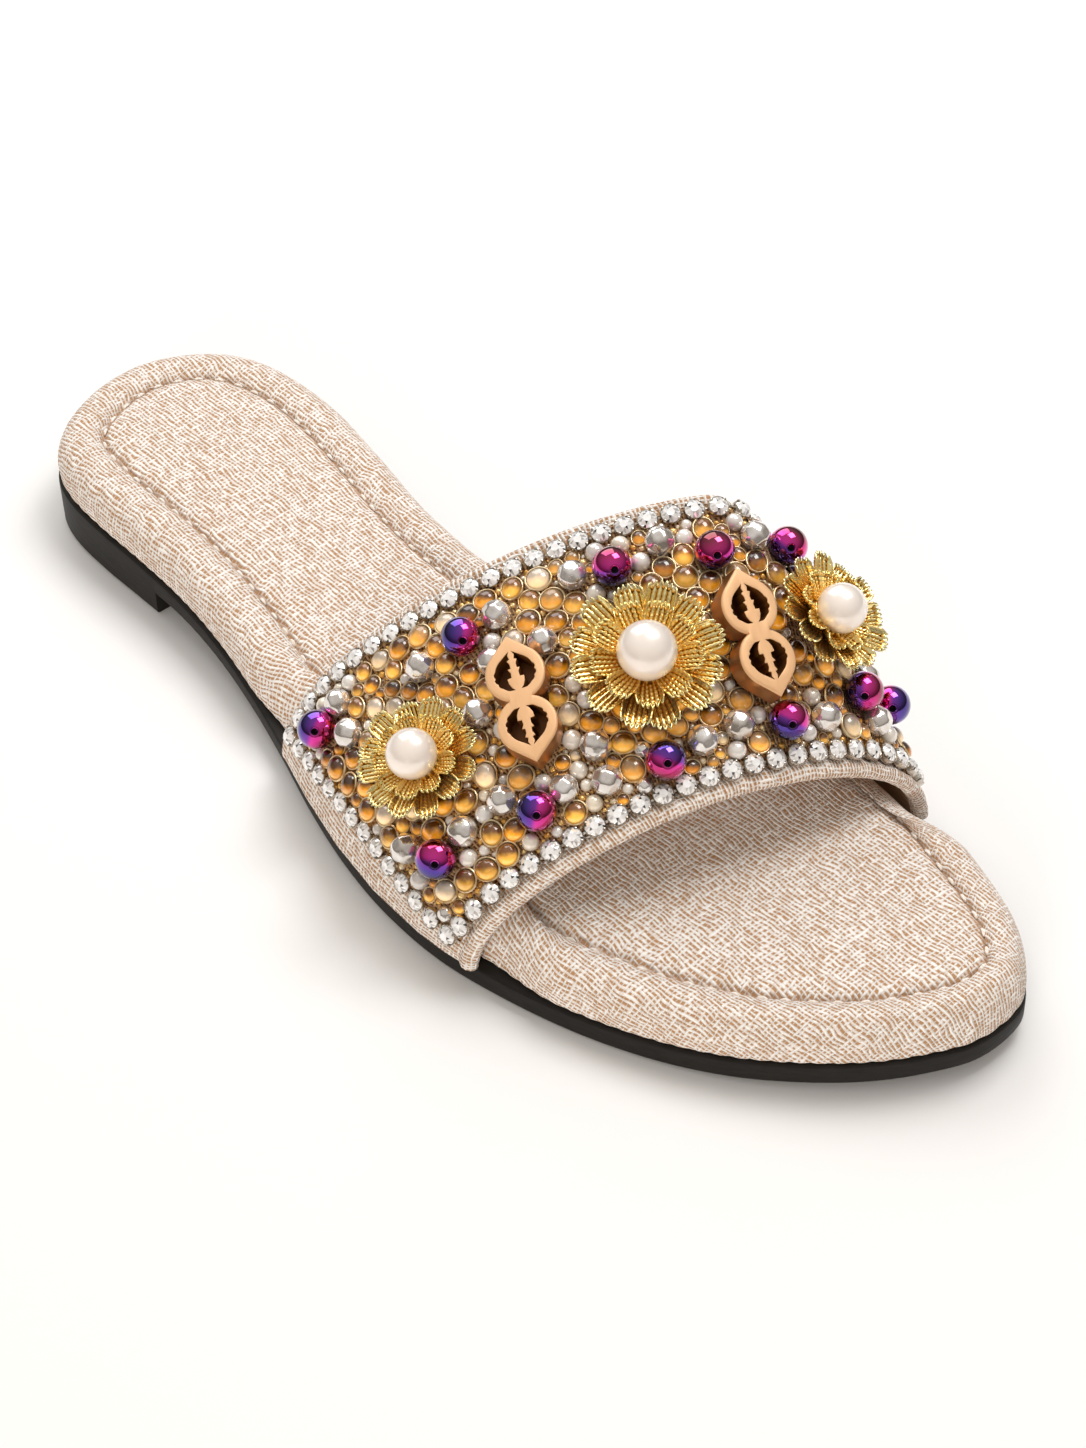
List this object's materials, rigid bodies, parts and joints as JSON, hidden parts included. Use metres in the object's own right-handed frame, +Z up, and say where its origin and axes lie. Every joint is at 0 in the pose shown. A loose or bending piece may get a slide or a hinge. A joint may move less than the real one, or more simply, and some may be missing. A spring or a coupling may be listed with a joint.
{
  "type": "embellished slide sandal",
  "caption": "Flat slide sandal with a padded woven footbed, low heel and one wide strap set with beads, pearls, filigree flowers and fretwork.",
  "frame": {"origin": "On the floor, below the middle of the sandal's whole length and width.", "axes": "-Y points to the toe and +Y to the heel, +Z is up from the floor, -X is the outer (little toe) side and +X the inner (big toe) side of a right foot's sandal."},
  "size_m": [0.0976, 0.252, 0.0616],
  "materials": {
    "rubber": "matt moulded",
    "fabric": "matt coarse weave",
    "amber_glass": "polished, foil backed",
    "violet_mirror": "polished, iridescent",
    "gilt_metal": "bright plated",
    "pearl": "pearl lustre",
    "silver_crystal": "faceted, foil backed",
    "lining": "smooth matt",
    "copper_lacquer": "satin metallic"
  },
  "bodies": {
    "root": {"outsole": "rubber", "footbed": "fabric", "upper": "fabric", "bead_panel": "amber_glass", "large_bead_01": "violet_mirror", "large_bead_02": "violet_mirror", "large_bead_03": "violet_mirror", "large_bead_04": "violet_mirror", "large_bead_05": "violet_mirror", "large_bead_06": "violet_mirror", "large_bead_07": "violet_mirror", "large_bead_08": "violet_mirror", "large_bead_09": "violet_mirror", "large_bead_10": "violet_mirror", "large_bead_11": "violet_mirror", "flower_outer": "gilt_metal", "flower_middle": "gilt_metal", "flower_inner": "gilt_metal", "pearl_outer": "pearl", "pearl_middle": "pearl", "pearl_inner": "pearl", "fret_outer": "copper_lacquer", "fret_inner": "copper_lacquer"}
  },
  "joints": []
}
